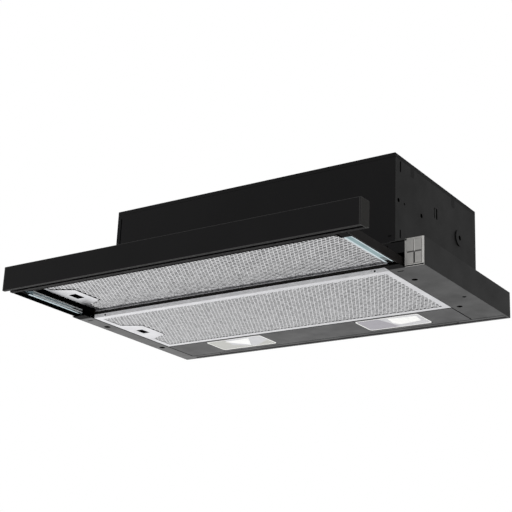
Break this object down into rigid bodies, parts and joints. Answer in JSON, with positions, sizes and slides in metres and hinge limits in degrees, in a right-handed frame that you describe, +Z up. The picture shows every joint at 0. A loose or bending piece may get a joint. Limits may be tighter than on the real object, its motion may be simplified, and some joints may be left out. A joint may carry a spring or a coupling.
{
  "type": "pull-out range hood",
  "caption": "Slim range hood for a wall cabinet, with a sheet-steel casing and a pull-out drawer that carries a front fascia and a grease filter.",
  "frame": {"origin": "on the underside, under the middle of the whole hood with its drawer out: midway between the fascia's front and the frame's rear, and midway between the two ends", "axes": "+X to the right as seen from the front, +Y back to the wall, +Z up; the drawer pulls out towards -Y"},
  "size_m": [0.598, 0.448, 0.203],
  "materials": {
    "black_paint": "satin black powder coat",
    "side_paint": "matt charcoal powder coat",
    "drawer_paint": "matt dark powder coat",
    "lamp_paint": "matt grey powder coat",
    "zinc": "bright zinc plate",
    "dark_steel": "dark zinc plate with grease",
    "filter_frame": "satin aluminium sheet",
    "filter_mesh": "expanded aluminium mesh",
    "black_plastic": "moulded",
    "grey_plastic": "fine satin",
    "white_plastic": "moulded",
    "lens": "frosted",
    "circuit_board": "solder mask",
    "rubber": "matt"
  },
  "bodies": {
    "hood": {"frame_left_rail": "side_paint", "frame_right_rail": "side_paint", "frame_rear_panel": "side_paint", "frame_front_panel": "black_paint", "frame_corner_trim": "black_plastic", "frame_corner_trim_right": "black_plastic", "lamp_panel": "lamp_paint", "lamp_lens_left": "lens", "lamp_housing_left": "white_plastic", "lamp_lens_right": "lens", "lamp_housing_right": "white_plastic", "casing_right_side": "side_paint", "casing_left_side": "side_paint", "casing_front_panel": "black_paint", "casing_rear_panel": "side_paint", "casing_top_panel": "side_paint", "outlet_collar": "white_plastic", "flap_hinge_pin": "zinc", "blower_housing": "black_plastic", "motor": "zinc", "motor_bracket": "zinc", "electrical_box": "white_plastic", "electrical_box_cover": "white_plastic", "capacitor": "white_plastic", "cable_grommet": "rubber", "lamp_driver": "white_plastic", "control_bezel": "grey_plastic", "control_box": "black_plastic", "control_board": "circuit_board", "control_cable": "rubber", "motor_cable": "rubber", "drawer_switch": "black_plastic", "slide_fixed_member_left": "zinc", "slide_fixed_member_right": "zinc"},
    "drawer": {"fascia": "black_paint", "fascia_end_cap_right": "black_plastic", "fascia_end_cap_left": "black_plastic", "drawer_right_channel": "drawer_paint", "drawer_left_channel": "drawer_paint", "drawer_front_rail": "drawer_paint", "drawer_rear_crossbar": "drawer_paint", "slide_drawer_member_left": "zinc", "slide_drawer_member_right": "zinc"},
    "slide_middle_left": {"slide_middle_member_left": "dark_steel"},
    "slide_middle_right": {"slide_middle_member_right": "dark_steel"},
    "front_filter": {"front_filter_frame": "filter_frame", "front_filter_mesh": "filter_mesh"},
    "front_filter_latch": {"front_filter_latch": "black_plastic"},
    "rear_filter": {"rear_filter_frame": "filter_frame", "rear_filter_mesh": "filter_mesh"},
    "rear_filter_latch": {"rear_filter_latch": "black_plastic"},
    "button_1": {"control_button_1": "grey_plastic"},
    "button_2": {"control_button_2": "grey_plastic"},
    "button_3": {"control_button_3": "grey_plastic"},
    "button_4": {"control_button_4": "grey_plastic"},
    "impeller": {"impeller": "grey_plastic", "motor_shaft": "zinc"},
    "flap_left": {"non_return_flap_left": "black_plastic"},
    "flap_right": {"non_return_flap_right": "black_plastic"},
    "switch_plunger": {"drawer_switch_plunger": "white_plastic"}
  },
  "joints": [
    {"name": "drawer_slide", "type": "slide", "parent": "hood", "child": "drawer", "axis": [0, 1, 0], "range_m": [0, 0.1445]},
    {"name": "middle_slide_left", "type": "slide", "parent": "hood", "child": "slide_middle_left", "axis": [0, 1, 0], "range_m": [0, 0.0723]},
    {"name": "middle_slide_right", "type": "slide", "parent": "hood", "child": "slide_middle_right", "axis": [0, 1, 0], "range_m": [0, 0.0723]},
    {"name": "front_filter_hinge", "type": "hinge", "parent": "drawer", "child": "front_filter", "pos_m": [0.247, -0.1214, 0.013], "axis": [0, -1, 0], "range_deg": [0, 30]},
    {"name": "front_latch_slide", "type": "slide", "parent": "front_filter", "child": "front_filter_latch", "axis": [1, 0, 0], "range_m": [0, 0.004], "stiffness_N_per_m": 300},
    {"name": "rear_filter_hinge", "type": "hinge", "parent": "hood", "child": "rear_filter", "pos_m": [0.245, 0.04275, 0], "axis": [0, -1, 0], "range_deg": [0, 45]},
    {"name": "rear_latch_slide", "type": "slide", "parent": "rear_filter", "child": "rear_filter_latch", "axis": [1, 0, 0], "range_m": [0, 0.004], "stiffness_N_per_m": 300},
    {"name": "button_1_press", "type": "slide", "parent": "hood", "child": "button_1", "axis": [0, 1, 0], "range_m": [0, 0.0022], "stiffness_N_per_m": 400},
    {"name": "button_2_press", "type": "slide", "parent": "hood", "child": "button_2", "axis": [0, 1, 0], "range_m": [0, 0.0022], "stiffness_N_per_m": 400},
    {"name": "button_3_press", "type": "slide", "parent": "hood", "child": "button_3", "axis": [0, 1, 0], "range_m": [0, 0.0022], "stiffness_N_per_m": 400},
    {"name": "button_4_press", "type": "slide", "parent": "hood", "child": "button_4", "axis": [0, 1, 0], "range_m": [0, 0.0022], "stiffness_N_per_m": 400},
    {"name": "impeller_spin", "type": "hinge", "parent": "hood", "child": "impeller", "pos_m": [0, 0.088, 0.103], "axis": [1, 0, 0], "continuous": true},
    {"name": "flap_left_hinge", "type": "hinge", "parent": "hood", "child": "flap_left", "pos_m": [0, 0.088, 0.19], "axis": [0, 1, 0], "range_deg": [0, 75]},
    {"name": "flap_right_hinge", "type": "hinge", "parent": "hood", "child": "flap_right", "pos_m": [0, 0.088, 0.19], "axis": [0, -1, 0], "range_deg": [0, 75]},
    {"name": "plunger_slide", "type": "slide", "parent": "hood", "child": "switch_plunger", "axis": [0, 1, 0], "range_m": [0, 0.002], "stiffness_N_per_m": 200}
  ],
  "couplings": [
    {"joint": "middle_slide_left", "follows": "drawer_slide", "ratio": 0.5},
    {"joint": "middle_slide_right", "follows": "drawer_slide", "ratio": 0.5}
  ]
}
